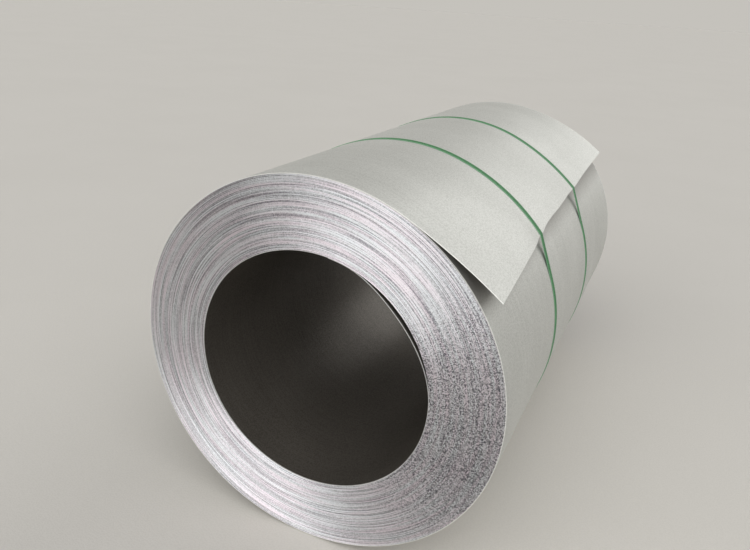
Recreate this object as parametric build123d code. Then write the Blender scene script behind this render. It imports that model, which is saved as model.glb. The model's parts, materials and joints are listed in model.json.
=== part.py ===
from build123d import *
import math
import os

# Steel coil: one long strip wound into a roll, lying on its side with its axis level along Y.
# The origin is the middle of the bore, +Z is up, and the near end faces -Y.
# A clock angle is counted in degrees from the top, turning towards +X as seen from the near end.

# Strip and roll
bore_radius = 254.0
outer_radius = 400.0
strip_width = 1250.0
strip_thickness = 1.0

# Bands of turns that stand back a little from the ends
band_count = 8
band_depth = 1.6
band_unevenness = 0.22
band_rhythm = 2.4

# Outermost turns, and the stretch of clock angles where the last turn springs off the roll
skin_depth = 6.0
seam_depth = 1.0
tail_from = 4.0
tail_to = 76.0
tail_steps = 4
tip_gap = 0.6

# Loose innermost turn at the near end, which narrows the bore towards the rim and bulges into it:
# clock angles of the bulge, its gap at the rim, how deep it goes, and how its edges sit in the roll
loose_from = 24.0
loose_peak = 41.0
loose_to = 122.0
loose_gap = 13.5
loose_depth = 340.0
loose_taper = 1.2
loose_root = 2.0
loose_grip = 0.5
loose_points = 7
loose_stations = 5

# Straps
strap_width = 19.0
strap_thickness = 1.0
strap_seat = 0.3
near_strap_y = -210.0
far_strap_y = 197.0
joint_clock = 262.0
joint_length = 60.0

# Sprung tail at stations across the strip: the clock angle where it leaves the roll,
# the clock angle of its cut end, and how far that end stands off the roll
tail_shape = (
    (-strip_width / 2, 27.0, 56.3, 38.0),
    ((near_strap_y - strip_width / 2) / 2, 25.0, 55.7, 29.0),
    (near_strap_y, 18.0, 54.4, 12.5),
    ((near_strap_y + far_strap_y) / 2, 20.0, 53.3, 22.0),
    (far_strap_y, 24.0, 51.9, 16.0),
    ((far_strap_y + strip_width / 2) / 2, 18.0, 51.2, 22.0),
    (strip_width / 2, 8.6, 50.5, 33.0),
)


def on_clock(radius, clock):
    """Point of a cross-section at a radius and a clock angle."""
    turn = math.radians(clock)
    return Vector(radius * math.sin(turn), radius * math.cos(turn))


def across(y):
    """Plane square to the axis at y, in which cross-sections are placed."""
    return Plane.XZ.offset(-y)


def between(inside, outside):
    """Face between two clockwise curves, closed by straight lines at both ends."""
    return make_face([inside, Line(inside @ 1, outside @ 1), outside, Line(outside @ 0, inside @ 0)])


def round_arc(radius, start, end):
    """Clockwise arc about the axis."""
    return ThreePointArc(*[on_clock(radius, clock) for clock in (start, (start + end) / 2, end)])


def wound_radius(clock):
    """Outside of the roll, which gains one strip thickness in each full turn."""
    return outer_radius - strip_thickness * (tail_to - clock) / 360


def wound_arc(start, end, rise):
    """Clockwise arc along the outside of the roll, raised off it."""
    clocks = (start, (start + end) / 2, end)
    return ThreePointArc(*[on_clock(wound_radius(clock) + rise, clock) for clock in clocks])


# Turned body of the roll


def ring_band(index):
    """Outer radius of one band of turns, and how far it stands back from the end."""
    wall = outer_radius - skin_depth - bore_radius
    share = (index + 1) / band_count
    if index + 1 < band_count:
        share += band_unevenness * math.sin(band_rhythm * (index + 1)) / band_count
    return bore_radius + wall * share, band_depth * (1 - math.cos(band_rhythm * index)) / 2


def stepped_end(end_y, first_radius):
    """Stepped line of one end of the roll, from the bore outwards."""
    points = []
    radius = first_radius
    for index in range(band_count):
        outside, depth = ring_band(index)
        y = end_y - math.copysign(depth, end_y)
        points += [(radius, y), (outside, y)]
        radius = outside
    return points


def wound_body():
    """Turned body, all but the outermost turns, with its bore narrowing towards the near end."""
    near_end = stepped_end(-strip_width / 2, bore_radius - loose_taper)
    far_end = stepped_end(strip_width / 2, bore_radius)
    taper_stops = (bore_radius, loose_depth - strip_width / 2)
    return revolve(make_face(Polyline(*near_end, *far_end[::-1], taper_stops, close=True)), Axis.Y)


# Outermost turns


def roll_skin():
    """Outermost turns that lie tight: round the roll up to the tail, and on under it."""
    over = wound_arc(tail_to - 360, tail_from, 0)
    under_tail = wound_arc(tail_from, tail_to, -strip_thickness)
    outline = make_face([over, Line(over @ 1, under_tail @ 0), under_tail])
    inside = Circle(outer_radius - skin_depth - seam_depth)
    return extrude(across(strip_width / 2) * (outline - inside), strip_width)


def tail_arcs(station, offset):
    """Arcs along the tail, offset off its outside: where it lies tight, and where it has sprung off."""
    _, leaves, stops, lift = station
    tight = wound_arc(tail_from, leaves, 0)
    sprung = TangentArc(tight @ 1, on_clock(wound_radius(stops) + lift, stops), tangent=tight % 1)
    onward = sprung % 1
    beside = wound_arc(tail_from, leaves, offset)
    end = sprung @ 1 + Vector(-onward.Y, onward.X) * offset
    return beside, TangentArc(beside @ 1, end, tangent=beside % 1)


def tail_section(station):
    """Section of the tail at a station, with its root in the turn below it."""
    y, leaves, stops, lift = station
    opens = math.sqrt(tip_gap / lift)
    tight, sprung = tail_arcs(station, 0)
    _, inner = tail_arcs(station, -strip_thickness)
    under = ThreePointArc(inner @ opens, inner @ ((1 + opens) / 2), inner @ 1)
    root = wound_arc(tail_from, leaves + (stops - leaves) * opens, -strip_thickness - seam_depth)
    sides = [Line(sprung @ 1, under @ 1), Line(under @ 0, root @ 1), Line(root @ 0, tight @ 0)]
    return across(y) * make_face([tight, sprung, under, root] + sides)


def tail_stations():
    """Stations across the strip: the tail's shape, level across each strap, with blends between."""
    stations = []
    for y, *shape in tail_shape:
        half = strap_width / 2 if y in (near_strap_y, far_strap_y) else 0
        stations += [(y - half, *shape), (y + half, *shape)] if half else [(y, *shape)]
    blended = [stations[0]]
    for before, after in zip(stations, stations[1:]):
        steps = 1 if before[1:] == after[1:] else tail_steps
        for step in range(1, steps + 1):
            share = (1 - math.cos(math.pi * step / steps)) / 2
            y = before[0] + (after[0] - before[0]) * step / steps
            blended.append((y, *[low + (high - low) * share for low, high in zip(before[1:], after[1:])]))
    return blended


def sprung_tail():
    """End of the last turn, sprung off the roll but lying flat under each strap."""
    return loft([tail_section(station) for station in tail_stations()], ruled=True)


# Loose innermost turn


def loose_opening(clock, depth):
    """Gap between the loose turn and the roll at a clock angle and a depth from the near end."""
    if clock < loose_peak:
        around = math.sin(math.pi / 2 * (clock - loose_from) / (loose_peak - loose_from))
    else:
        around = ((loose_to - clock) / (loose_to - loose_peak)) ** 2
    along = math.cos(math.pi / 2 * min(depth / loose_depth, 1.0)) ** 2
    return tip_gap + (loose_gap - tip_gap) * around * along


def loose_curve(depth, offset):
    """Curve along the loose turn at a depth, offset towards the axis from its outer face."""
    points = []
    for index in range(loose_points):
        clock = loose_from + (loose_to - loose_from) * (index / (loose_points - 1)) ** 1.5
        points.append(on_clock(bore_radius + strip_thickness - loose_opening(clock, depth) - offset, clock))
    return Spline(*points)


def loose_turn():
    """Stretch of the innermost turn that bulges into the bore."""
    sections = []
    for index in range(loose_stations):
        depth = (loose_depth + loose_root) * index / (loose_stations - 1)
        section = between(loose_curve(depth, strip_thickness), loose_curve(depth, 0))
        sections.append(across(depth - strip_width / 2) * section)
    return loft(sections)


def loose_room():
    """Space that the loose turn has left in the roll."""
    ends = (loose_from + loose_grip, loose_to - loose_grip)
    inside = round_arc(bore_radius - loose_taper - seam_depth, *ends)
    outside = round_arc(bore_radius + strip_thickness, *ends)
    return extrude(across(loose_depth - strip_width / 2) * between(inside, outside), loose_depth)


# Coil and straps


def coil():
    """The whole roll as one solid."""
    return wound_body() - loose_room() + loose_turn() + roll_skin() + sprung_tail()


def strap_loop(station, rise):
    """Face inside a line raised off the steel: round the roll, over the tail's cut end and down."""
    tight, sprung = tail_arcs(station, rise)
    corner = tail_arcs(station, 0)[1] @ 1
    touch = station[2] + math.degrees(math.acos((outer_radius - strip_thickness) / corner.length))
    round_roll = wound_arc(tail_to - 360, tail_from, rise)
    bend = TangentArc(sprung @ 1, corner + on_clock(rise, touch), tangent=sprung % 1)
    landing = wound_arc(touch, tail_to, rise - strip_thickness)
    return make_face([round_roll, tight, sprung, bend, Line(bend @ 1, landing @ 0), landing])


def strap(y):
    """One strap: a flat band with its welded lap."""
    station = next(place for place in tail_shape if place[0] == y)
    half = math.degrees(joint_length / outer_radius) / 2
    ends = (joint_clock - 360 - half, joint_clock - 360 + half)
    lap_top = wound_radius(joint_clock - 360) + strap_seat + 2 * strap_thickness
    lap = between(round_arc(outer_radius - skin_depth, *ends), round_arc(lap_top, *ends))
    band = strap_loop(station, strap_seat + strap_thickness) + lap - strap_loop(station, strap_seat)
    return extrude(across(y + strap_width / 2) * band, strap_width)


def write_parts():
    """Build every piece and write it to its own file."""
    os.makedirs("parts", exist_ok=True)
    pieces = {"coil": coil(), "strap_near": strap(near_strap_y), "strap_far": strap(far_strap_y)}
    for name, piece in pieces.items():
        export_step(piece, f"parts/{name}.step")
        print(name, round(piece.volume), len(piece.solids()), piece.is_valid)


if __name__ == "__main__":
    write_parts()
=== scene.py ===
"""Coil of galvanised sheet steel on its side, with a sprung cut end and two green straps.

The roll's axis lies along Y, its near end faces -Y, and +Z is up. A clock angle is counted in
degrees from the top, turning towards +X as seen from the near end, and it runs on through all
turns of the strip.
"""

import json
import logging
import math
from dataclasses import dataclass
from enum import Enum
from typing import Callable

import bpy
import numpy as np
from mathutils import Matrix, Vector


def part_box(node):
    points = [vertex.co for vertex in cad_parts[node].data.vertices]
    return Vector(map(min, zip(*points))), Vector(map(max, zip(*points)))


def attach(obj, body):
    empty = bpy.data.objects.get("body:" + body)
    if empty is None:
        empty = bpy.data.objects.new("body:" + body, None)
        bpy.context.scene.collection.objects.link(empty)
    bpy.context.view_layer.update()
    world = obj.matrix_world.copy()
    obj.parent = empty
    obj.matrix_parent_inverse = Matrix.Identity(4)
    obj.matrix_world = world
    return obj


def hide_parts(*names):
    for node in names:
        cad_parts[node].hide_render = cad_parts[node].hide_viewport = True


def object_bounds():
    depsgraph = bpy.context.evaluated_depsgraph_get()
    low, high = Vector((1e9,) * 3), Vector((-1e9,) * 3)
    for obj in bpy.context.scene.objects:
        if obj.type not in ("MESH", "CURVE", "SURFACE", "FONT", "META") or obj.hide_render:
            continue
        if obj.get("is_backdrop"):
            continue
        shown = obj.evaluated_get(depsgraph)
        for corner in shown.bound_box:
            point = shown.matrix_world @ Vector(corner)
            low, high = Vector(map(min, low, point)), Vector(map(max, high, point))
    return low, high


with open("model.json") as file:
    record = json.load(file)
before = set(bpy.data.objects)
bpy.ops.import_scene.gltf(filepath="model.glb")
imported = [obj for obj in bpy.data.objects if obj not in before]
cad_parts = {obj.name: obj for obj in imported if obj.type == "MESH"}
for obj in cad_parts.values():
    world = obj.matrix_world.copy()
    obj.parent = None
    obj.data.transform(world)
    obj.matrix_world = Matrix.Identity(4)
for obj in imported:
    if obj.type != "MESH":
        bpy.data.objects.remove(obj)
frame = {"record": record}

LOG = logging.getLogger("coil")
MM = 0.001
FULL_TURN = 360.0

Array = np.ndarray
Pair = tuple[Array, Array]
Placer = Callable[[Array, Array], Pair]
Span = tuple[float, float]
Colour = tuple[float, float, float]
Piece = bpy.types.Object
Material = bpy.types.Material
Socket = bpy.types.NodeSocket
Tree = bpy.types.NodeTree


class Side(Enum):
    """The two ends of the roll, as signs along Y."""

    NEAR = -1
    FAR = 1


class Slot(Enum):
    """Material slots of the record."""

    ZINC = "zinc_coated_steel"
    STRAP = "green_strapping"


class Layer(Enum):
    """Material slots of a sheet: its outer faces, its cut edges and its inner faces."""

    OUTER = 0
    EDGE = 1
    INNER = 2


# Shared mesh helpers


def on_clock(radius: Array, clock: Array) -> Pair:
    """Turn distances from the axis and clock angles into X and Z."""
    turn = np.radians(clock)
    return radius * np.sin(turn), radius * np.cos(turn)


def smooth_step(share: Array) -> Array:
    """Ease a share from 0 to 1 with level ends."""
    share = np.clip(share, 0.0, 1.0)
    return (1 - np.cos(np.pi * share)) / 2


def run_along(line: Array) -> Array:
    """Measure a line's length from its first point to each of its points."""
    return np.concatenate(([0.0], np.cumsum(np.hypot(*np.diff(line, axis=0).T))))


def steady_noise(along: Array, spacing: float, seed: int) -> Array:
    """Draw smooth noise along a line, the same in each run.

    Args:
        along: Places along the line.
        spacing: Distance between the random knots, in the same unit.
        seed: Number that sets the random draw.

    Returns:
        Values from 0 to 1.
    """
    first = along.min()
    count = int((along.max() - first) / spacing) + 3
    knots = np.random.default_rng(seed).random(count)
    place = (along - first) / spacing
    index = place.astype(int)
    share = smooth_step(place - index)
    return knots[index] * (1 - share) + knots[index + 1] * share


def deselect() -> None:
    """Leave edit mode and deselect everything."""
    if bpy.context.object and bpy.context.object.mode != "OBJECT":
        bpy.ops.object.mode_set(mode="OBJECT")
    bpy.ops.object.select_all(action="DESELECT")


def face_vectors(mesh: bpy.types.Mesh, what: str) -> Array:
    """Read one vector of each face.

    Args:
        mesh: The mesh.
        what: Name of the vector, such as normal or center.

    Returns:
        The vectors (n, 3).
    """
    values = np.empty(len(mesh.polygons) * 3, np.float32)
    mesh.polygons.foreach_get(what, values)
    return values.reshape(-1, 3)


def face_out(piece: Piece, axes: tuple[int, ...] = (0, 2)) -> None:
    """Flip all of a piece's faces if, taken together, they point inwards.

    Args:
        piece: The piece.
        axes: Axes along which the faces are judged.
    """
    normals, centers = (face_vectors(piece.data, what) for what in ("normal", "center"))
    if (normals * centers)[:, axes].sum() < 0:
        piece.data.flip_normals()


@dataclass(frozen=True)
class Sheet:
    """A piece of thin sheet, made from a grid.

    rim and back: material slots of its cut edges and its inner faces; sharp: degrees above which
    edges stay sharp.
    """

    name: str
    columns: int
    rows: int
    thickness: float
    rim: Layer = Layer.EDGE
    back: Layer = Layer.OUTER
    sharp: float = 40.0

    def wrap(self, place: Placer) -> Piece:
        """Wrap the grid into its real shape and lay its UV map in metres.

        Args:
            place: Takes column and row numbers and returns points (n, 3) and UV coordinates (n, 2).

        Returns:
            The piece, which is active and alone selected.
        """
        deselect()
        bpy.ops.mesh.primitive_grid_add(
            x_subdivisions=self.columns, y_subdivisions=self.rows, size=1, location=(0.5, 0.5, 0)
        )
        bpy.ops.object.transform_apply(location=True)
        piece = bpy.context.object
        mesh = piece.data
        piece.name = mesh.name = self.name
        flat = np.empty(len(mesh.vertices) * 3, np.float32)
        mesh.vertices.foreach_get("co", flat)
        flat = flat.reshape(-1, 3)
        column = np.rint(flat[:, 0] * self.columns).astype(int)
        row = np.rint(flat[:, 1] * self.rows).astype(int)
        points, uvs = place(column, row)
        mesh.vertices.foreach_set("co", points.astype(np.float32).ravel())
        corner = np.empty(len(mesh.loops), np.int32)
        mesh.loops.foreach_get("vertex_index", corner)
        mesh.uv_layers.active.data.foreach_set("uv", uvs[corner].astype(np.float32).ravel())
        mesh.update()
        return piece

    def model(self, place: Placer) -> Piece:
        """Model the sheet, with its thickness inwards from its faces.

        Args:
            place: As for wrap.

        Returns:
            The piece.
        """
        piece = self.wrap(place)
        face_out(piece)
        solidify = piece.modifiers.new("thickness", "SOLIDIFY")
        solidify.thickness = self.thickness
        solidify.offset = -1.0
        solidify.use_even_offset = True
        solidify.material_offset_rim = self.rim.value
        solidify.material_offset = self.back.value
        bpy.ops.object.modifier_apply(modifier=solidify.name)
        bpy.ops.object.shade_smooth_by_angle(angle=math.radians(self.sharp))
        return piece


# The strip and how it is wound


@dataclass(frozen=True)
class Station:
    """One place across the strip, with how the sprung end lies there.

    y: place along the axis; leaves: clock angle where it leaves the roll; stops: clock angle of
    the cut end; lift: how far that end stands off the roll.
    """

    y: float
    leaves: float
    stops: float
    lift: float


OUTER_RADIUS = 400.0 * MM
HALF_WIDTH = 625.0 * MM
STRAP_WIDTH = 19.0 * MM
NEAR_STRAP_Y = -210.0 * MM
FAR_STRAP_Y = 197.0 * MM
# The node that each strap replaces, its name and its place
STRAPS = (("strap_near", "near_band", NEAR_STRAP_Y), ("strap_far", "far_band", FAR_STRAP_Y))

TAIL_STATIONS = (
    Station(-HALF_WIDTH, 27.0, 56.5, 38.0 * MM),
    Station(-420.0 * MM, 25.5, 55.4, 28.6 * MM),
    Station(-290.0 * MM, 22.0, 54.75, 21.0 * MM),
    Station(NEAR_STRAP_Y, 18.0, 54.4, 12.5 * MM),
    Station(-155.0 * MM, 18.5, 53.5, 13.9 * MM),
    Station(-10.0 * MM, 20.5, 52.55, 20.0 * MM),
    Station(FAR_STRAP_Y, 24.0, 52.1, 16.0 * MM),
    Station(330.0 * MM, 19.0, 51.2, 20.0 * MM),
    Station(HALF_WIDTH, 8.6, 49.6, 33.0 * MM),
)


@dataclass
class Roll:
    """Sizes that all turns of the strip share.

    outer_clock: clock angle where the wound outside has its full radius; inner_clock: clock angle
    of the strip's inner end; whole_turns: full turns that follow it; seeds: of the near and the far
    edge's noise; waves: how an edge wanders, by spacing (in turns, then in metres), depth in
    millimetres, and power.
    """

    bore_radius: float
    outer_radius: float
    width: float
    thickness: float = 1.0 * MM
    outer_clock: float = 76.0
    inner_clock: float = 8.0
    whole_turns: int = 145
    seeds: tuple[int, int] = (11, 29)
    waves: tuple[tuple[float, float, int], ...] = ((9.0, 0.9, 1), (0.55, 0.7, 2), (0.09, 0.35, 1))

    @property
    def start(self) -> float:
        """Clock angle of the strip's inner end."""
        return self.inner_clock - FULL_TURN * self.whole_turns

    @property
    def pitch(self) -> float:
        """Growth of the radius in one turn."""
        turns = (self.outer_clock - self.start) / FULL_TURN
        return (self.outer_radius - self.thickness - self.bore_radius) / turns

    def outside(self, clock: Array) -> Array:
        """Radius of the strip's outer face at a clock angle."""
        return self.outer_radius - self.pitch * (self.outer_clock - clock) / FULL_TURN

    def run(self, clock: Array) -> Array:
        """Length of strip from its inner end to a clock angle."""
        mean = (self.outside(clock) + self.outside(self.start)) / 2
        return mean * np.radians(clock - self.start)

    def edge(self, clock: Array, side: Side) -> Array:
        """Place the strip's edge along Y, wandering a little from turn to turn.

        Args:
            clock: Clock angles.
            side: Which of the two edges.

        Returns:
            Its places along Y.
        """
        seed = self.seeds[side is Side.FAR]
        run = self.run(clock)
        inset = 0.0
        for along, (spacing, depth, power) in zip((clock / FULL_TURN, run, run), self.waves):
            inset = inset + depth * steady_noise(along, spacing, seed) ** power
            seed += 1
        return side.value * (self.width / 2 - inset * MM)

    def trim(self, y: Array, clock: Array, row: Array, last: int) -> Array:
        """Move the places of a sheet's first and last rows onto the strip's edges."""
        near, far = (self.edge(clock, side) for side in Side)
        return np.where(row == 0, near, np.where(row == last, far, y))


@dataclass
class SprungTail:
    """Shape of the strip's outer end, which has sprung off between the straps."""

    roll: Roll
    stations: tuple[Station, ...]
    strap_ys: tuple[float, ...]
    strap_width: float

    def shape(self, y: Array) -> tuple[Array, Array, Array]:
        """Run smooth curves through the stations, level across the straps.

        Args:
            y: Places along the axis.

        Returns:
            Clock angle where the tail leaves the roll, clock angle of its cut end, and its lift.
        """
        knots, level = [], []
        for station in self.stations:
            held = station.y in self.strap_ys
            for edge in (-self.strap_width / 2, self.strap_width / 2) if held else (0.0,):
                knots.append((station.y + edge, station.leaves, station.stops, station.lift))
                level.append(held)
        table = np.array(knots)
        slopes = np.gradient(table[:, 1:], table[:, 0], axis=0)
        slopes[level] = 0.0
        index = np.clip(np.searchsorted(table[:, 0], y, side="right") - 1, 0, len(table) - 2)
        gap = (table[index + 1, 0] - table[index, 0])[:, None]
        share = np.clip((y[:, None] - table[index, :1]) / gap, 0.0, 1.0)
        rise = share ** 2 * (3 - 2 * share)
        blend = table[index, 1:] * (1 - rise) + table[index + 1, 1:] * rise
        swing = slopes[index] * (1 - share) - slopes[index + 1] * share
        blend += gap * share * (1 - share) * swing
        return blend[:, 0], blend[:, 1], blend[:, 2]

    def radius(self, clock: Array, y: Array) -> Array:
        """Work out the radius of the outer face.

        Args:
            clock: Clock angles.
            y: Places along the axis.

        Returns:
            The radius at each place.
        """
        leaves, stops, lift = self.shape(y)
        reach = np.clip((clock - leaves) / (stops - leaves), 0.0, 1.0)
        return self.roll.outside(clock) + lift * reach ** 2


@dataclass
class LastTurn:
    """Outermost turn of the strip with its sprung cut end.

    held_to: clock angle up to which it lies tight; close_reach: how far beside a strap the rows
    lie closer, in strap widths; close_share: share of row_spacing that is left there.
    """

    roll: Roll
    tail: SprungTail
    first_clock: float = -350.0
    held_to: float = 4.0
    held_columns: int = 236
    sprung_columns: int = 52
    row_spacing: float = 17.0 * MM
    close_reach: float = 3.0
    close_share: float = 0.4
    sheet: float = 0.97 * MM

    def rows(self) -> Array:
        """Place the rows across the strip, closer beside the straps.

        Returns:
            Their places along the axis.
        """
        half, strap_half = self.roll.width / 2, self.tail.strap_width / 2
        reach = self.close_reach * self.tail.strap_width
        stops = [-half]
        for y in self.tail.strap_ys:
            stops += [y - reach, y - strap_half, y + strap_half, y + reach]
        stops.append(half)
        places = [np.array([-half])]
        for low, high in zip(stops, stops[1:]):
            closeness = self.close_share if high - low < reach else 1.0
            count = max(2, round((high - low) / (self.row_spacing * closeness)))
            places.append(np.linspace(low, high, count + 1)[1:])
        return np.concatenate(places)

    def place(self, column: Array, row: Array) -> Pair:
        """Place the grid's vertices on the turn.

        Args:
            column: Column of each.
            row: Row of each.

        Returns:
            Points and UV coordinates.
        """
        rows = self.rows()
        y = rows[row]
        _, stops, _ = self.tail.shape(y)
        held = self.first_clock + (self.held_to - self.first_clock) * column / self.held_columns
        beyond = (column - self.held_columns) / self.sprung_columns
        sprung = self.held_to + (stops - self.held_to) * beyond
        clock = np.where(column <= self.held_columns, held, sprung)
        x, z = on_clock(self.tail.radius(clock, y), clock)
        trimmed = self.roll.trim(y, clock, row, len(rows) - 1)
        return np.stack((x, trimmed, z), axis=1), np.stack((self.roll.run(clock), y), axis=1)

    def build(self) -> Piece:
        """Model the turn as a sheet.

        Returns:
            The piece, with a slot of its own for its inner faces.
        """
        columns, rows = self.held_columns + self.sprung_columns, len(self.rows()) - 1
        # Its inner faces get a slot of their own, which takes the zinc painted dark as painted
        # shade
        sheet = Sheet("last_turn", columns, rows, self.sheet, back=Layer.INNER)
        return sheet.model(self.place)


# Corners of the wound strip's section by row of the grid, the first once more at the end: 1 on the
# inner face, 1 at the near edge, and the place across the UV map in sheet thicknesses
SECTION_CORNERS = np.array([(1, 1, 0), (0, 1, 1), (0, 0, 0), (1, 0, 1), (1, 1, 0)])


@dataclass
class InnerTurns:
    """All turns between the innermost and the outermost one, as one closed spiral strip.

    edge_slope: least part of its normal along Y that makes a face a cut edge; seam: vertices nearer
    than this are merged; end_sides: most sides of an opening that is filled.
    """

    roll: Roll
    last_clock: float = -350.0
    steps_a_turn: int = 160
    sheet: float = 0.9 * MM
    edge_slope: float = 0.7
    seam: float = 0.02 * MM
    end_sides: int = 8

    @property
    def first_clock(self) -> float:
        """Clock angle where these turns begin."""
        return self.roll.start + FULL_TURN

    @property
    def columns(self) -> int:
        """Number of steps along all of them."""
        return round((self.last_clock - self.first_clock) / FULL_TURN * self.steps_a_turn)

    def place(self, column: Array, row: Array) -> Pair:
        """Place the grid's vertices on the strip.

        Args:
            column: Column of each.
            row: Row of each.

        Returns:
            Points and UV coordinates.
        """
        clock = self.first_clock + (self.last_clock - self.first_clock) * column / self.columns
        inner, near, across = SECTION_CORNERS[row].T
        x, z = on_clock(self.roll.outside(clock) - inner * self.sheet, clock)
        y = np.where(near, self.roll.edge(clock, Side.NEAR), self.roll.edge(clock, Side.FAR))
        uvs = np.stack((self.roll.run(clock), across * self.sheet), axis=1)
        return np.stack((x, y, z), axis=1), uvs

    def build(self) -> Piece:
        """Model the turns from a long grid whose rows are the corners of the strip's section.

        Returns:
            The piece.
        """
        rows = len(SECTION_CORNERS) - 1
        piece = Sheet("inner_turns", self.columns, rows, self.sheet).wrap(self.place)
        is_edge = np.abs(face_vectors(piece.data, "normal")[:, 1]) > self.edge_slope
        slots = is_edge.astype(np.int32) * Layer.EDGE.value
        piece.data.polygons.foreach_set("material_index", slots)
        bpy.ops.object.mode_set(mode="EDIT")
        bpy.ops.mesh.select_mode(type="VERT")
        bpy.ops.mesh.select_all(action="SELECT")
        bpy.ops.mesh.remove_doubles(threshold=self.seam)
        bpy.ops.mesh.select_all(action="DESELECT")
        bpy.ops.mesh.select_non_manifold(extend=False)
        bpy.ops.mesh.fill_holes(sides=self.end_sides)
        bpy.ops.object.mode_set(mode="OBJECT")
        face_out(piece, (1,))
        return piece


@dataclass
class FirstTurn:
    """Innermost turn of the strip, which bulges into the bore at the near end.

    loose_from, loose_peak and loose_to: clock angles of the bulge; loose_gap and loose_depth: how
    far it stands into the bore and reaches along it.
    """

    roll: Roll
    loose_from: float = 14.0
    loose_peak: float = 46.0
    loose_to: float = 90.0
    loose_gap: float = 9.0 * MM
    loose_depth: float = 340.0 * MM
    columns: int = 240
    near_rows: int = 26
    far_rows: int = 6
    sheet: float = 0.9 * MM

    def bulge(self, clock: Array, depth: Array) -> Array:
        """Work out how far the turn stands into the bore.

        Args:
            clock: Clock angles.
            depth: Distances from the near end.

        Returns:
            The bulge at each place, in metres.
        """
        rise = smooth_step((clock - self.loose_from) / (self.loose_peak - self.loose_from))
        fall = smooth_step((self.loose_to - clock) / (self.loose_to - self.loose_peak))
        around = np.minimum(rise, fall)
        along = np.cos(np.pi / 2 * np.clip(depth / self.loose_depth, 0, 1)) ** 2
        return self.loose_gap * around * along

    def rows(self) -> Array:
        """Place the rows across the strip, closer where it bulges.

        Returns:
            Their places along the axis.
        """
        half = self.roll.width / 2
        near = np.linspace(-half, -half + self.loose_depth, self.near_rows + 1)
        return np.concatenate((near, np.linspace(near[-1], half, self.far_rows + 1)[1:]))

    def place(self, column: Array, row: Array) -> Pair:
        """Place the grid's vertices on the turn.

        Args:
            column: Column of each.
            row: Row of each.

        Returns:
            Points and UV coordinates.
        """
        rows = self.rows()
        y = rows[row]
        clock = self.roll.start + FULL_TURN * column / self.columns
        around = clock - self.roll.start + self.roll.inner_clock
        radius = self.roll.outside(clock) - self.bulge(around, y + self.roll.width / 2)
        x, z = on_clock(radius, clock)
        y = self.roll.trim(y, clock, row, len(rows) - 1)
        return np.stack((x, y, z), axis=1), np.stack((self.roll.run(clock), y), axis=1)

    def build(self) -> Piece:
        """Model the turn as a sheet."""
        sheet = Sheet("first_turn", self.columns, len(self.rows()) - 1, self.sheet)
        return sheet.model(self.place)


# Straps

# Section of a strap: places across it as shares of its half width, and how far its face drops there
STRAP_SHARES = np.array([-1.0, -0.96, -0.85, -0.4, 0.0, 0.4, 0.85, 0.96, 1.0])
STRAP_DROPS = np.array([0.22, 0.08, 0.0, 0.0, 0.0, 0.0, 0.0, 0.08, 0.22]) * MM


@dataclass
class Strap:
    """One flat strap pulled tight round the roll and over the sprung end, with its lap welded.

    seat: its gap to the roll; lap_clock: clock angle of the lap's middle; climb: how far before
    that the outer layer starts to rise, in half laps; sample: degrees between the points its line
    is drawn from; bend_reach and bend_points: reach and number of the extra points at the bend.
    """

    roll: Roll
    tail: SprungTail
    name: str
    y: float
    width: float = STRAP_WIDTH
    thickness: float = 1.0 * MM
    sheet: float = 0.9 * MM
    seat: float = 0.3 * MM
    lap_clock: float = 262.0
    lap_length: float = 60.0 * MM
    climb: float = 2.2
    sample: float = 0.25
    step: float = 5.0 * MM
    bend_reach: float = 6.0 * MM
    bend_points: int = 9
    sharp: float = 35.0

    def route(self) -> Array:
        """Line of the strap's outer face in X and Z, from its hidden end to the end over it.

        Returns:
            Points (n, 2), evenly spaced but for the extra ones at the bend.
        """
        half_lap = math.degrees(self.lap_length / self.roll.outer_radius) / 2
        rise = self.seat + self.thickness
        stops = float(self.tail.shape(np.array([self.y]))[1][0])
        up = np.arange(self.lap_clock - FULL_TURN - half_lap, stops, self.sample)
        over = np.stack(on_clock(self.tail.radius(up, np.full_like(up, self.y)) + rise, up), axis=1)
        reach = float(np.hypot(*over[-1]))
        under = float(self.roll.outside(stops - FULL_TURN)) + rise
        touch = stops + math.degrees(math.acos(under / reach))
        down = np.arange(touch, self.lap_clock + half_lap, self.sample)
        lifted = smooth_step((down - (self.lap_clock - self.climb * half_lap)) / half_lap)
        radius = self.roll.outside(down - FULL_TURN) + rise + self.thickness * lifted
        line = np.concatenate((over, np.stack(on_clock(radius, down), axis=1)))
        span = run_along(line)
        even = np.linspace(0, span[-1], round(span[-1] / self.step))
        bend = np.linspace(-self.bend_reach, self.bend_reach, self.bend_points)
        even = np.sort(np.concatenate((even, span[len(over) - 1] + bend)))
        points = np.stack([np.interp(even, span, line[:, axis]) for axis in (0, 1)], axis=1)
        for _ in range(2):      # Rounds the one sharp bend a little
            points[1:-1] = (points[:-2] + 2 * points[1:-1] + points[2:]) / 4
        return points

    def place(self, column: Array, row: Array) -> Pair:
        """Place the grid's vertices on the strap.

        Args:
            column: Column of each.
            row: Row of each.

        Returns:
            Points and UV coordinates.
        """
        line = self.route()
        tangent = np.gradient(line, axis=0)
        tangent /= np.hypot(*tangent.T)[:, None]
        normal = np.stack((-tangent[:, 1], tangent[:, 0]), axis=1)
        normal *= np.sign((normal * line).sum(axis=1))[:, None]
        spot = line[column] - normal[column] * STRAP_DROPS[row][:, None]
        across = STRAP_SHARES[row] * self.width / 2
        points = np.stack((spot[:, 0], self.y + across, spot[:, 1]), axis=1)
        return points, np.stack((run_along(line)[column], across), axis=1)

    def build(self) -> Piece:
        """Model the strap as a sheet with one finish all over.

        Returns:
            The piece.
        """
        columns, rows = len(self.route()) - 1, len(STRAP_SHARES) - 1
        sheet = Sheet(self.name, columns, rows, self.sheet, rim=Layer.OUTER, sharp=self.sharp)
        return sheet.model(self.place)


# Finishes


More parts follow.
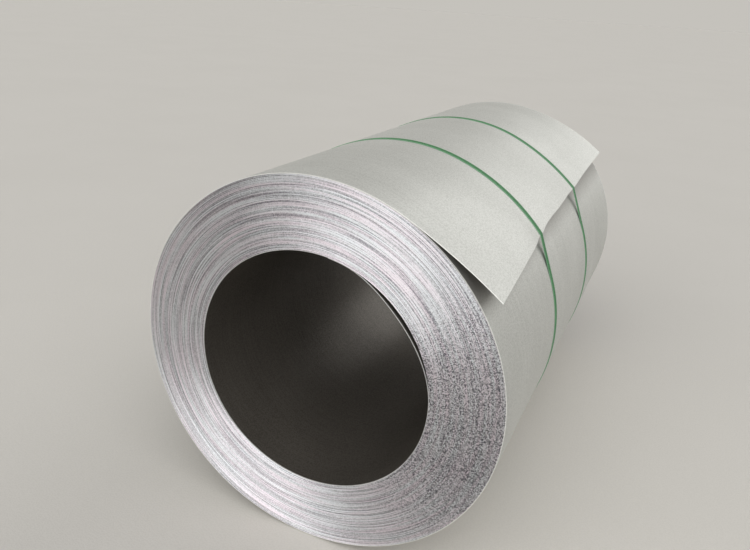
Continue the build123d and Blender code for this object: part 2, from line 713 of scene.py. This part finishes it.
@dataclass(frozen=True)
class ZincFinish:
    """Matt zinc coating of the sheet's faces, with a painted highlight along its sides.

    tail_shade: dark colour painted on the roll under the sprung end as its painted shade, if any;
    shelter: clock angles where the roll is open to the light and where the sprung end lies over it;
    side: how far from the strip's sides their painted highlight band begins and is full; stray: how
    far its border wanders; grains: size of a grain and a cluster; tones: pattern values of the dark
    and the plain colour; smoother: what grains take off the roughness; scuffs: length and width;
    facets: size and tilt; relief: depth and strength.
    """

    name: str
    colour: Colour
    dark: Colour
    roughness: float
    metallic: float
    # Painted shade: a dark colour laid on the roll under the sprung end
    tail_shade: Colour | None = None
    tail_shade_span: Span = (61.0, 51.0)
    tail_shade_weight: float = 0.9
    # Painted highlight: a pale band along the strip's sides, where its edges catch the light
    side_highlight: Colour = (0.98, 0.98, 0.96)
    wear_and_highlight: float = 0.7
    side: Span = (3.8 * MM, 2.4 * MM)
    stray: float = 1.6 * MM
    stray_scale: float = 130.0
    rolling: tuple[float, float, float] = (1.4, 240.0, 1.0)
    rolling_weight: float = 0.4
    cloud_scale: float = 5.0
    cloud_weight: float = 0.4
    grains: Span = (3.0 * MM, 60.0 * MM)
    grain_weight: float = 0.2
    tones: Span = (0.2, 0.8)
    smoother: float = 0.08
    scuffs: Span = (90.0 * MM, 1.6 * MM)
    scuff_weight: float = 0.3
    scuff_depth: float = 0.5
    facets: Span = (2.4 * MM, 0.04)
    relief: Span = (0.1 * MM, 0.25)


@dataclass(frozen=True)
class EdgeFinish:
    """Slit edges of the strip, streaked along the turns and speckled with burrs.

    tint: second bright colour, of some turns; broad, fine and hues: length, pitch, softness and
    weight of the streaks; ground: share of bright metal before these; burr_level: value of a burr
    that changes nothing; speckle and burred: contrast of the burrs, and its growth on the right, in
    part a painted shading of that side; lean: how far that side is turned below the middle; right:
    where on the way there it begins and is full; hidden and dimmed: what streaks and ground lose
    there, as painted shade; brushed and brush_turn: how far highlights are drawn out, and which
    way;
    outer_highlight and inner_highlight: how far from outside and bore the painted rim highlights
    begin and are full.
    """

    name: str
    bright: Colour
    dark: Colour
    tint: Colour
    roughness: float
    metallic: float
    broad: tuple[float, ...] = (260.0 * MM, 1.9 * MM, 0.08, 0.45)
    fine: tuple[float, ...] = (170.0 * MM, 1.3 * MM, 0.08, 0.36)
    hues: tuple[float, ...] = (150.0 * MM, 9.0 * MM, 0.2, 0.6)
    ground: float = 0.36
    burr_size: float = 1.6 * MM
    burr_level: float = 0.46
    speckle: float = 0.42
    burred: float = 1.65
    lean: float = 0.12
    right: Span = (0.6, 1.05)
    # Painted shade of the lower right of each end: what its streaks and its ground lose
    hidden: float = 0.25
    right_ground_shade: float = 0.02
    brushed: float = 0.92
    brush_turn: float = 0.25
    # Painted highlights at the outer and the inner rim of each end
    outer_highlight: Span = (1.7 * MM, 0.8 * MM)
    inner_highlight: Span = (1.6 * MM, 0.6 * MM)
    rim_highlight_weight: float = 0.5
    facets: Span = (1.8 * MM, 0.2)
    relief: Span = (0.3 * MM, 0.5)


@dataclass(frozen=True)
class StrapFinish:
    """Embossed plastic strapping.

    wear_and_highlight: colour of its scuffs and of the painted highlight on its sides; emboss:
    pitch of the diamonds; sides: distance from the middle where the painted side highlights begin
    and are full;
    the rest: as for zinc.
    """

    name: str
    colour: Colour
    dark: Colour
    # Colour of the scuffs, and of the painted highlight along the sides
    wear_and_highlight: Colour
    roughness: float
    specular: float = 0.2
    emboss: float = 2.4 * MM
    sides: Span = (6.4 * MM, 8.6 * MM)
    side_weight: float = 0.7
    grains: Span = (5.0 * MM, 80.0 * MM)
    scuffs: Span = (40.0 * MM, 0.8 * MM)
    scuff_weight: float = 0.5
    scuff_depth: float = 1.0
    relief: Span = (0.2 * MM, 0.5)


@dataclass(frozen=True)
class FloorFinish:
    """Pale concrete with soft clouds and fine grit."""

    colour: Colour = (0.649, 0.62, 0.573)
    dark: Colour = (0.597, 0.569, 0.522)
    roughness: float = 0.85
    specular: float = 0.0
    cloud_scale: float = 1.3
    cloud_weight: float = 0.6
    grit: Span = (4.0 * MM, 300.0 * MM)
    grit_weight: float = 0.4
    relief: Span = (0.3 * MM, 0.3)


ZINC_COAT = ZincFinish(
    name="zinc_coat",
    colour=(0.61, 0.615, 0.59),
    dark=(0.455, 0.46, 0.435),
    roughness=0.52,
    metallic=0.66,
    # Painted shade on the roll under the sprung end
    tail_shade=(0.25, 0.24, 0.225),
)
# Zinc painted dark as painted shade: the inside of the bore and the underside of the sprung end
SHADED_BORE_ZINC = ZincFinish(
    name="bore_zinc",
    colour=(0.14, 0.126, 0.108),
    dark=(0.075, 0.066, 0.055),
    roughness=0.4,
    metallic=0.5,
)
CUT_EDGES = EdgeFinish(
    name="cut_edges",
    bright=(0.95, 0.97, 1.0),
    dark=(0.085, 0.08, 0.115),
    tint=(1.0, 0.88, 0.95),
    roughness=0.66,
    metallic=0.95,
)
GREEN_PLASTIC = StrapFinish(
    name="green_plastic",
    colour=(0.047, 0.2, 0.072),
    dark=(0.028, 0.14, 0.045),
    # Colour of the scuffs, and of the painted highlight along the sides
    wear_and_highlight=(0.25, 0.49, 0.3),
    roughness=0.5,
)


def rgba(colour: Colour) -> tuple[float, float, float, float]:
    """Add a full alpha to a colour."""
    return (*colour, 1.0)


class Nodes:
    """Short hand for building a shader node tree."""

    def __init__(self, tree: Tree) -> None:
        """Keep the tree that nodes are added to."""
        self.tree = tree

    def add(self, kind: str, inputs: dict | None = None, **settings: object) -> bpy.types.Node:
        """Add a node, set its properties, and link or set its inputs.

        Args:
            kind: The node's type name.
            inputs: Sockets to link from, or values to set, by input name or number.
            settings: The node's own properties.

        Returns:
            The node.
        """
        node = self.tree.nodes.new(kind)
        for key, value in settings.items():
            setattr(node, key, value)
        for key, value in (inputs or {}).items():
            if isinstance(value, Socket):
                self.tree.links.new(value, node.inputs[key])
            else:
                node.inputs[key].default_value = value
        return node

    def shade(self, inputs: dict) -> None:
        """Add a Principled BSDF and the output of its material."""
        shader = self.add("ShaderNodeBsdfPrincipled", inputs)
        self.add("ShaderNodeOutputMaterial", {"Surface": shader.outputs["BSDF"]})

    def group(self, tree: Tree, *values: object) -> Socket:
        """Place a shared group, give its inputs their values in order, and give its output."""
        return self.add("ShaderNodeGroup", dict(enumerate(values)), node_tree=tree).outputs[0]

    def math(self, operation: str, *values: object) -> Socket:
        """Add a Math node and give its output."""
        return self.add("ShaderNodeMath", dict(enumerate(values)), operation=operation).outputs[0]

    def vector(self, operation: str, inputs: dict) -> Socket:
        """Add a Vector Math node and give its output."""
        return self.add("ShaderNodeVectorMath", inputs, operation=operation).outputs[0]

    def off_axis(self, x: object, z: object) -> Socket:
        """Work out the distance from the roll's axis."""
        return self.math("SQRT", self.math("MULTIPLY_ADD", x, x, self.math("MULTIPLY", z, z)))

    def ramp(self, factor: Socket, low: object, high: object) -> Socket:
        """Stretch a value smoothly so that low becomes 0 and high becomes 1."""
        inputs = {"Value": factor, "From Min": low, "From Max": high}
        return self.add("ShaderNodeMapRange", inputs, interpolation_type="SMOOTHSTEP").outputs[0]

    def mix(self, factor: object, first: object, second: object) -> Socket:
        """Mix two colours."""
        inputs = {0: factor, 6: first, 7: second}
        return self.add("ShaderNodeMix", inputs, data_type="RGBA").outputs[2]

    def split(self, vector: Socket) -> tuple[Socket, ...]:
        """Split a vector into X, Y and Z."""
        return tuple(self.add("ShaderNodeSeparateXYZ", {0: vector}).outputs)

    def join(self, *parts: object) -> Socket:
        """Join X, Y and Z into a vector."""
        return self.add("ShaderNodeCombineXYZ", dict(enumerate(parts))).outputs[0]

    def noise(self, vector: Socket, scale: object, detail: float, rough: float = 0.5) -> Socket:
        """Add a noise texture and give its value."""
        inputs = {"Vector": vector, "Scale": scale, "Detail": detail, "Roughness": rough}
        return self.add("ShaderNodeTexNoise", inputs).outputs[0]

    def cells(self, vector: Socket, scale: object) -> Socket:
        """Add a texture of cells and give its random colour of each cell."""
        return self.add("ShaderNodeTexVoronoi", {"Vector": vector, "Scale": scale}).outputs["Color"]

    def bump(self, height: Socket, depth: float, strength: float) -> Socket:
        """Turn a height into a normal."""
        inputs = {"Height": height, "Distance": depth, "Strength": strength}
        return self.add("ShaderNodeBump", inputs).outputs[0]


def new_group(
    name: str, inputs: dict[str, float | None], output: str
) -> tuple[Nodes, list[Socket]]:
    """Start a shared node group with one output.

    Args:
        name: The group's name.
        inputs: Default of each input by name, or None for a vector.
        output: Name of the output, which is a vector if it is called Normal and a value otherwise.

    Returns:
        The group's nodes and its input sockets.
    """
    tree = bpy.data.node_groups.new(name, "ShaderNodeTree")
    for key, default in inputs.items():
        kind = "NodeSocketVector" if default is None else "NodeSocketFloat"
        socket = tree.interface.new_socket(name=key, in_out="INPUT", socket_type=kind)
        if default is not None:
            socket.default_value = default
    kind = "NodeSocketVector" if output == "Normal" else "NodeSocketFloat"
    tree.interface.new_socket(name=output, in_out="OUTPUT", socket_type=kind)
    nodes = Nodes(tree)
    given = nodes.add("NodeGroupInput").outputs
    return nodes, [given[key] for key in inputs]


def speckle_group() -> Tree:
    """Build fine speckle: small grains of a given size, with some contrast between clusters.

    Returns:
        The group.
    """
    inputs = {"Vector": None, "Size": 2.0 * MM, "Cluster": 50.0 * MM}
    nodes, (place, size, cluster) = new_group("fine_speckle", inputs, "Mask")
    grains = nodes.noise(place, nodes.math("DIVIDE", 1.0, size), detail=1.0, rough=0.6)
    clusters = nodes.noise(place, nodes.math("DIVIDE", 1.0, cluster), detail=2.0)
    low = nodes.math("MULTIPLY_ADD", clusters, 0.06, 0.39)
    nodes.add("NodeGroupOutput", {"Mask": nodes.ramp(grains, low, 0.55)})
    return nodes.tree


def facet_group() -> Tree:
    """Build crystal facets: small cells of a given size, each tilted its own way.

    Returns:
        The group.
    """
    inputs = {"Normal": None, "Vector": None, "Size": 3.0 * MM, "Tilt": 0.1}
    nodes, (normal, place, size, tilt) = new_group("crystal_facets", inputs, "Normal")
    cells = nodes.cells(place, nodes.math("DIVIDE", 1.0, size))
    centred = nodes.vector("SUBTRACT", {0: cells, 1: (0.5, 0.5, 0.5)})
    total = nodes.vector("ADD", {0: nodes.vector("SCALE", {0: centred, "Scale": tilt}), 1: normal})
    nodes.add("NodeGroupOutput", {"Normal": nodes.vector("NORMALIZE", {0: total})})
    return nodes.tree


def scuff_group() -> Tree:
    """Build handling scuffs: sparse scratches along one direction, only inside a few patches.

    Returns:
        The group.
    """
    inputs = {"Vector": None, "Length": 80.0 * MM, "Width": 1.5 * MM}
    nodes, (place, length, width) = new_group("handling_scuffs", inputs, "Mask")
    x, y, z = nodes.split(place)
    across = nodes.math("MULTIPLY_ADD", nodes.noise(place, scale=6.0, detail=1.0), 0.01, y)
    drawn = nodes.join(nodes.math("DIVIDE", x, length), nodes.math("DIVIDE", across, width), z)
    lines = nodes.ramp(nodes.noise(drawn, scale=1.0, detail=1.0), 0.66, 0.74)
    patches = nodes.ramp(nodes.noise(place, scale=4.0, detail=2.0), 0.52, 0.66)
    nodes.add("NodeGroupOutput", {"Mask": nodes.math("MULTIPLY", lines, patches)})
    return nodes.tree


def streak_group(middle_radius: float) -> Tree:
    """Build streaks that run round the axis on the ends of the roll.

    Args:
        middle_radius: Radius at which Length is true, in metres.

    Returns:
        The group.
    """
    inputs = {"Vector": None, "Length": 60.0 * MM, "Pitch": 2.5 * MM, "Contrast": 0.15}
    nodes, (place, length, pitch, contrast) = new_group("turn_streaks", inputs, "Mask")
    x, y, z = nodes.split(place)
    radius = nodes.off_axis(x, z)
    around = nodes.math("DIVIDE", nodes.math("DIVIDE", middle_radius, length), radius)
    own_end = nodes.math("MULTIPLY_ADD", z, around, nodes.math("SIGN", y))
    outwards = nodes.math("DIVIDE", radius, pitch)
    turned = nodes.join(nodes.math("MULTIPLY", x, around), outwards, own_end)
    ends = (nodes.math(way, 0.5, contrast) for way in ("SUBTRACT", "ADD"))
    value = nodes.noise(turned, scale=1.0, detail=1.0)
    nodes.add("NodeGroupOutput", {"Mask": nodes.ramp(value, *ends)})
    return nodes.tree


@dataclass
class Finisher:
    """Builds the materials of the coil, its straps and the floor from shared effects."""

    roll: Roll

    def __post_init__(self) -> None:
        """Build the shared effects once."""
        self.speckle = speckle_group()
        self.facets = facet_group()
        self.scuffs = scuff_group()
        self.streaks = streak_group((self.roll.bore_radius + self.roll.outer_radius) / 2)

    @staticmethod
    def start(name: str) -> tuple[Material, Nodes]:
        """Make an empty node material.

        Args:
            name: The material's name.

        Returns:
            The material and its nodes.
        """
        material = bpy.data.materials.new(name)
        material.use_nodes = True
        material.node_tree.nodes.clear()
        return material, Nodes(material.node_tree)

    def zinc(self, finish: ZincFinish) -> Material:
        """Build the zinc coating: fine speckle, faint rolling lines and scuffs, a painted highlight
        along the sides, and painted shade under the sprung end where it is set.

        Args:
            finish: Its colours and sizes.

        Returns:
            The material.
        """
        material, nodes = self.start(finish.name)
        place = nodes.add("ShaderNodeTexCoord").outputs["Object"]
        run = nodes.add("ShaderNodeUVMap").outputs["UV"]
        grains = nodes.group(self.speckle, place, *finish.grains)
        scuffs = nodes.group(self.scuffs, run, *finish.scuffs)
        drawn = nodes.add("ShaderNodeMapping", {"Vector": run, "Scale": finish.rolling}).outputs[0]
        lines = nodes.noise(drawn, scale=1.0, detail=3.0, rough=0.6)
        clouds = nodes.noise(place, finish.cloud_scale, detail=3.0)
        share = nodes.math("MULTIPLY", clouds, finish.cloud_weight)
        share = nodes.math("MULTIPLY_ADD", lines, finish.rolling_weight, share)
        share = nodes.math("MULTIPLY_ADD", grains, finish.grain_weight, share)
        dark = rgba(finish.dark)
        tone = nodes.mix(nodes.ramp(share, *finish.tones), dark, rgba(finish.colour))
        tone = nodes.mix(nodes.math("MULTIPLY", scuffs, finish.scuff_weight), tone, dark)
        # Painted shade: darken the roll where the sprung end lies over it
        if finish.tail_shade:
            ends = (self.roll.run(clock - FULL_TURN) for clock in finish.tail_shade_span)
            under_tail_shade = nodes.ramp(nodes.split(run)[0], *ends)
            under_tail_shade = nodes.math("MULTIPLY", under_tail_shade, finish.tail_shade_weight)
            tone = nodes.mix(under_tail_shade, tone, rgba(finish.tail_shade))
        # Painted highlight: a pale band along both sides of the strip
        aside = nodes.math("ABSOLUTE", nodes.split(place)[1])
        border = nodes.noise(place, finish.stray_scale, detail=2.0)
        border = nodes.math("MULTIPLY_ADD", border, -finish.stray, aside)
        ends = (self.roll.width / 2 - inset for inset in finish.side)
        wear_and_highlight = nodes.math("MULTIPLY", nodes.ramp(border, *ends), finish.wear_and_highlight)
        tone = nodes.mix(wear_and_highlight, tone, rgba(finish.side_highlight))
        roughest = finish.roughness + finish.smoother / 2
        height = nodes.math("ADD", grains, lines)
        height = nodes.math("MULTIPLY_ADD", scuffs, -finish.scuff_depth, height)
        raised = nodes.bump(height, *finish.relief)
        nodes.shade({
            "Base Color": tone,
            "Metallic": finish.metallic,
            "Roughness": nodes.math("MULTIPLY_ADD", grains, -finish.smoother, roughest),
            "Normal": nodes.group(self.facets, raised, place, *finish.facets),
        })
        return material

    @staticmethod
    def bright(nodes: Nodes, place: Socket, streaks: Socket, finish: EdgeFinish) -> Socket:
        """Lay the burrs over the streaks, most on the lower right of the ends.

        That side also gets weaker streaks and a darker ground, as its painted shade.

        Args:
            nodes: The material's nodes.
            place: Place in the object.
            streaks: The streaks.
            finish: The finish of the edges.

        Returns:
            Share of bright metal.
        """
        x, _, z = nodes.split(place)
        leaning = nodes.math("MULTIPLY_ADD", z, -finish.lean, x)
        leaning = nodes.math("DIVIDE", leaning, nodes.off_axis(x, z))
        # Painted shade: the lower right of each end gets weaker streaks, a darker ground and more
        # burrs
        shaded_and_burred_side = nodes.ramp(leaning, *finish.right)
        amount = nodes.math("MULTIPLY_ADD", shaded_and_burred_side, finish.burred, finish.speckle)
        kept = nodes.math("MULTIPLY_ADD", shaded_and_burred_side, -finish.hidden, 1.0)
        ground = nodes.math("MULTIPLY_ADD", shaded_and_burred_side, -finish.right_ground_shade, finish.ground)
        share = nodes.math("MULTIPLY_ADD", streaks, kept, ground)
        value, _, _ = nodes.split(nodes.cells(place, 1 / finish.burr_size))
        burrs = nodes.math("SUBTRACT", value, finish.burr_level)
        return nodes.math("MULTIPLY_ADD", burrs, amount, share)

    def edges(self, finish: EdgeFinish) -> Material:
        """Build the slit edges: broad and fine streaks, two bright tones, burrs, and painted
        highlights at the outer and the inner rim; the lower right of each end gets a painted shade.

        Args:
            finish: Its colours and sizes.

        Returns:
            The material.
        """
        material, nodes = self.start(finish.name)
        place = nodes.add("ShaderNodeTexCoord").outputs["Object"]
        broad, fine, hues = (
            nodes.math("MULTIPLY", nodes.group(self.streaks, place, *sizes), weight)
            for *sizes, weight in (finish.broad, finish.fine, finish.hues)
        )
        streaks = nodes.math("ADD", broad, fine)
        share = self.bright(nodes, place, streaks, finish)
        bright = nodes.mix(hues, rgba(finish.bright), rgba(finish.tint))
        tone = nodes.mix(share, rgba(finish.dark), bright)
        # Painted highlight: lighten a band at the outer and the inner rim of each end
        radius = nodes.off_axis(*nodes.split(place)[::2])
        outer = (self.roll.outer_radius - inset for inset in finish.outer_highlight)
        inner = (self.roll.bore_radius + inset for inset in finish.inner_highlight)
        rim_highlights = nodes.math("MAXIMUM", nodes.ramp(radius, *outer), nodes.ramp(radius, *inner))
        rim_highlights = nodes.math("MULTIPLY", rim_highlights, finish.rim_highlight_weight)
        raised = nodes.bump(streaks, *finish.relief)
        nodes.shade({
            "Base Color": nodes.mix(rim_highlights, tone, rgba(finish.bright)),
            "Metallic": finish.metallic,
            "Roughness": finish.roughness,
            "Anisotropic": finish.brushed,
            "Anisotropic Rotation": finish.brush_turn,
            "Tangent": nodes.add("ShaderNodeTangent", direction_type="UV_MAP").outputs[0],
            "Normal": nodes.group(self.facets, raised, place, *finish.facets),
        })
        return material

    def strapping(self, finish: StrapFinish) -> Material:
        """Build the strapping: small diamonds pressed into plastic, with scuffs and painted
        highlights on its sides.

        Args:
            finish: Its colours and sizes.

        Returns:
            The material.
        """
        material, nodes = self.start(finish.name)
        run = nodes.add("ShaderNodeUVMap").outputs["UV"]
        along, across, _ = nodes.split(run)
        pitch = 2 * math.pi / finish.emboss
        slants = (nodes.math(way, along, across) for way in ("ADD", "SUBTRACT"))
        waves = (nodes.math("SINE", nodes.math("MULTIPLY", slant, pitch)) for slant in slants)
        waffle = nodes.math("MULTIPLY", *waves)
        grains = nodes.group(self.speckle, run, *finish.grains)
        scuffs = nodes.group(self.scuffs, run, *finish.scuffs)
        tone = nodes.mix(grains, rgba(finish.dark), rgba(finish.colour))
        # Painted highlight: lighter green along both sides of the strap, together with the real
        # scuffs
        sides = nodes.ramp(nodes.math("ABSOLUTE", across), *finish.sides)
        sides = nodes.math("MULTIPLY", sides, finish.side_weight)
        scuffs_and_side_highlights = nodes.math("MAXIMUM", sides, nodes.math("MULTIPLY", scuffs, finish.scuff_weight))
        height = nodes.math("MULTIPLY_ADD", scuffs, -finish.scuff_depth, waffle)
        nodes.shade({
            "Base Color": nodes.mix(scuffs_and_side_highlights, tone, rgba(finish.wear_and_highlight)),
            "Roughness": finish.roughness,
            "Specular IOR Level": finish.specular,
            "Normal": nodes.bump(height, *finish.relief),
        })
        return material

    def concrete(self, finish: FloorFinish) -> Material:
        """Build the pale floor: soft clouds and fine grit.

        Args:
            finish: Its colours and sizes.

        Returns:
            The material.
        """
        material, nodes = self.start("pale_floor")
        place = nodes.add("ShaderNodeTexCoord").outputs["Object"]
        grit = nodes.group(self.speckle, place, *finish.grit)
        clouds = nodes.noise(place, finish.cloud_scale, detail=4.0)
        share = nodes.math("MULTIPLY", clouds, finish.cloud_weight)
        share = nodes.math("MULTIPLY_ADD", grit, finish.grit_weight, share)
        nodes.shade({
            "Base Color": nodes.mix(share, rgba(finish.dark), rgba(finish.colour)),
            "Roughness": finish.roughness,
            "Specular IOR Level": finish.specular,
            "Normal": nodes.bump(grit, *finish.relief),
        })
        return material


# Camera, floor and light


@dataclass(frozen=True)
class Lamp:
    """One broad soft lamp far off, which lights all of the coil and the floor alike.

    heading: where it shines from, in degrees from +Y towards +X; height: degrees above the floor;
    strength: light on a surface that faces it; spread: how wide it looks, in degrees.
    """

    name: str
    heading: float
    height: float
    strength: float
    spread: float


LAMPS = (
    Lamp("back_right", 30.0, 32.0, 0.75, 45.0),
    Lamp("front_right", 166.0, 38.0, 2.65, 95.0),
    Lamp("front_left", 205.0, 40.0, 0.2, 50.0),
    Lamp("low_front", 150.0, 14.0, 0.15, 50.0),
)


def aim(heading: float, height: float) -> Vector:
    """Turn a heading from +Y towards +X and a height, both in radians, into a direction."""
    level = math.cos(height)
    return Vector((math.sin(heading) * level, math.cos(heading) * level, math.sin(height)))


@dataclass
class Studio:
    """Plain pale floor, soft light and a camera at the photograph's viewing angle.

    yaw, pitch and roll: the camera's heading from +Y towards +X, and how far it looks down and is
    tipped to the side, in degrees; focal_pixels: focal length in pixels of a picture image_width
    wide; sky and backdrop: colour that lights the object, and colour that shows.
    """

    floor_height: float
    camera_place: tuple[float, float, float] = (0.58881, -1.65256, 0.69603)
    yaw: float = -24.0079
    pitch: float = 22.0370
    roll: float = -3.6408
    focal_pixels: float = 684.605
    image_width: int = 750
    sensor: float = 36.0
    floor_size: float = 160.0
    sky: Colour = (0.19, 0.20, 0.21)
    backdrop: Colour = (0.557, 0.539, 0.502)

    def camera(self) -> None:
        """Set up the camera from its place and its three angles."""
        yaw, pitch, roll = (math.radians(value) for value in (self.yaw, self.pitch, self.roll))
        forward = aim(yaw, -pitch)
        level = Vector((math.cos(yaw), -math.sin(yaw), 0.0))
        down = forward.cross(level)
        right = level * math.cos(roll) + down * math.sin(roll)
        down = down * math.cos(roll) - level * math.sin(roll)
        data = bpy.data.cameras.new("camera")
        data.sensor_width = self.sensor
        data.lens = self.focal_pixels * self.sensor / self.image_width
        data.clip_end = 2 * self.floor_size
        camera = bpy.data.objects.new("camera", data)
        axes = Matrix((right, -down, -forward)).transposed()
        camera.matrix_world = Matrix.Translation(self.camera_place) @ axes.to_4x4()
        bpy.context.collection.objects.link(camera)
        bpy.context.scene.camera = camera

    def floor(self, paint: Material) -> None:
        """Lay the floor and mark it as no part of the object.

        Args:
            paint: The floor's material.
        """
        deselect()
        bpy.ops.mesh.primitive_plane_add(size=self.floor_size, location=(0, 0, self.floor_height))
        bpy.ops.object.transform_apply(location=True)
        floor = bpy.context.object
        floor.name = "floor"
        floor.data.materials.append(paint)
        floor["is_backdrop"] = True

    def light(self) -> None:
        """Hang the lamps, and set a sky that looks as pale as the floor but lights less."""
        for lamp in LAMPS:
            data = bpy.data.lights.new(lamp.name, "SUN")
            data.energy = lamp.strength
            data.angle = math.radians(lamp.spread)
            hung = bpy.data.objects.new(lamp.name, data)
            towards = aim(math.radians(lamp.heading), math.radians(lamp.height))
            hung.rotation_euler = (-towards).to_track_quat("-Z", "Y").to_euler()
            bpy.context.collection.objects.link(hung)
        world = bpy.data.worlds.new("sky")
        bpy.context.scene.world = world
        world.use_nodes = True
        world.node_tree.nodes.clear()
        nodes = Nodes(world.node_tree)
        path = nodes.add("ShaderNodeLightPath").outputs
        seen = nodes.math("MAXIMUM", path["Is Camera Ray"], path["Is Glossy Ray"])
        seen = nodes.math("MAXIMUM", seen, path["Is Transmission Ray"])
        tone = nodes.mix(seen, rgba(self.sky), rgba(self.backdrop))
        background = nodes.add("ShaderNodeBackground", {"Color": tone})
        nodes.add("ShaderNodeOutputWorld", {"Surface": background.outputs[0]})


def keep_size(name: str, sizes: dict) -> None:
    """Note the object's box under a name."""
    low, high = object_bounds()
    sizes[name] = [list(map(float, low)), list(map(float, high))]


def finish_piece(piece: Piece, node: str, slot: Slot, *paints: Material) -> None:
    """Dress a piece, let it stand for a node and ride on the object.

    Args:
        piece: The piece.
        node: The node that it replaces.
        slot: The record's slot of its finish; not used.
        paints: Its materials, in the order of its slots.
    """
    for paint in paints:
        piece.data.materials.append(paint)
    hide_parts(node)
    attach(piece, "root")
    LOG.info("%s: %d faces", piece.name, len(piece.data.polygons))


@dataclass
class Assembly:
    """The coil's strip and its straps, from shared sizes and finishes."""

    roll: Roll
    tail: SprungTail
    finisher: Finisher

    def coil(self) -> None:
        """Build the strip in three pieces and dress them."""
        # bore is the zinc painted dark: painted shade on the first turn and on the last turn's
        # inner faces
        zinc, bore = self.finisher.zinc(ZINC_COAT), self.finisher.zinc(SHADED_BORE_ZINC)
        edge = self.finisher.edges(CUT_EDGES)
        turns = (
            (FirstTurn(self.roll), (bore, edge)),
            (InnerTurns(self.roll), (zinc, edge)),
            (LastTurn(self.roll, self.tail), (zinc, edge, bore)),
        )
        for turn, paints in turns:
            finish_piece(turn.build(), "coil", Slot.ZINC, *paints)

    def straps(self) -> None:
        """Build both straps and dress them."""
        green = self.finisher.strapping(GREEN_PLASTIC)
        for node, name, y in STRAPS:
            strap = Strap(self.roll, self.tail, name, y)
            finish_piece(strap.build(), node, Slot.STRAP, green)


def main() -> None:
    """Build the coil, its straps and the studio."""
    logging.basicConfig(level=logging.INFO, format="%(message)s")
    bpy.context.scene.view_settings.view_transform = "Standard"
    sizes: dict = {}
    keep_size("cad", sizes)
    low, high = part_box("coil")
    mandrel = frame["record"]["mounts"][0]
    roll = Roll(mandrel["dims"]["r_mm"] * MM, OUTER_RADIUS, high.y - low.y)
    tail = SprungTail(roll, TAIL_STATIONS, (NEAR_STRAP_Y, FAR_STRAP_Y), STRAP_WIDTH)
    finisher = Finisher(roll)
    assembly = Assembly(roll, tail, finisher)
    assembly.coil()
    assembly.straps()
    studio = Studio(floor_height=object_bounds()[0][2])
    studio.camera()
    studio.floor(finisher.concrete(FloorFinish()))
    studio.light()
    keep_size("visual", sizes)


if __name__ == "__main__":
    main()
